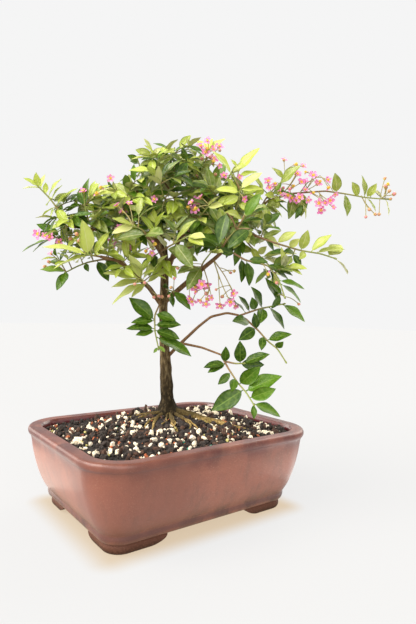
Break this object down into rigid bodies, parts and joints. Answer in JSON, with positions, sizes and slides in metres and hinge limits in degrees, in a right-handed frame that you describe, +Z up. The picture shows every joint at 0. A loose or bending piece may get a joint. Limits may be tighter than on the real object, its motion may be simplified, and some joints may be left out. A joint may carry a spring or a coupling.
{
  "type": "barbados cherry bonsai in a pot",
  "caption": "Small trained Barbados cherry tree with glossy leaves and pink blossom, standing in a glazed, footed, round-cornered rectangular pot filled with gritty soil",
  "frame": {"origin": "middle of the whole part's box, on the plane that the pot's feet stand on", "axes": "+Z up the trunk; X along the pot's long sides, with the longest branch towards +X; -Y is the pot's front long side, under the longest branch's end"},
  "size_m": [0.3208, 0.2724, 0.3598],
  "materials": {
    "glaze": "glazed stoneware, mottled red-brown",
    "mesh": "matte",
    "soil": "loose gritty soil with white perlite",
    "bark": "rough bark",
    "leaf": "waxy",
    "young_leaf": "soft satin",
    "petal": "soft"
  },
  "bodies": {
    "root": {"pot": "glaze", "drain_screen_left": "mesh", "drain_screen_right": "mesh", "soil": "soil", "wood": "bark", "shoot_crown_low_left": "leaf", "shoot_crown_left": "leaf", "shoot_crown_top_left": "leaf", "shoot_crown_top_back": "leaf", "shoot_crown_stem": "leaf", "shoot_crown_front": "leaf", "shoot_crown_right": "leaf", "shoot_crown_right_front": "leaf", "shoot_rosette_middle": "leaf", "shoot_right_tall": "leaf", "shoot_centre_dark": "leaf", "shoot_centre_fill": "leaf", "shoot_centre_back": "leaf", "shoot_left_top": "leaf", "shoot_left_upright": "leaf", "shoot_rosette_left": "leaf", "shoot_left_low": "leaf", "shoot_left_far": "leaf", "shoot_left_centre": "leaf", "shoot_left_inner": "leaf", "shoot_rosette_trunk": "leaf", "shoot_left_inner_low": "leaf", "shoot_pendant": "leaf", "shoot_trunk_side": "leaf", "shoot_front_centre": "leaf", "shoot_front_right": "leaf", "shoot_right_branch": "leaf", "shoot_right_low": "leaf", "shoot_right_far": "leaf", "shoot_right_mid": "leaf", "shoot_right_top": "leaf", "shoot_right_top_low": "leaf", "shoot_arc_outer": "leaf", "shoot_arc_side": "leaf", "shoot_lowest": "leaf", "shoot_back_right": "leaf", "shoot_back_left": "leaf", "shoot_back_top": "leaf", "blossom_crown": "petal", "blossom_crown_side": "petal", "blossom_right_inner": "petal", "blossom_right_upper": "petal", "blossom_right_lower": "petal", "blossom_right_outer": "petal", "blossom_right_end": "petal", "blossom_tip": "petal", "blossom_tip_low": "petal", "blossom_hanging": "petal", "blossom_hanging_right": "petal", "blossom_left_upper": "petal", "blossom_left_lower": "petal", "blossom_left_far": "petal", "blossom_left_rosette": "petal", "blossom_middle": "petal", "blossom_trunk": "petal"}
  },
  "joints": []
}
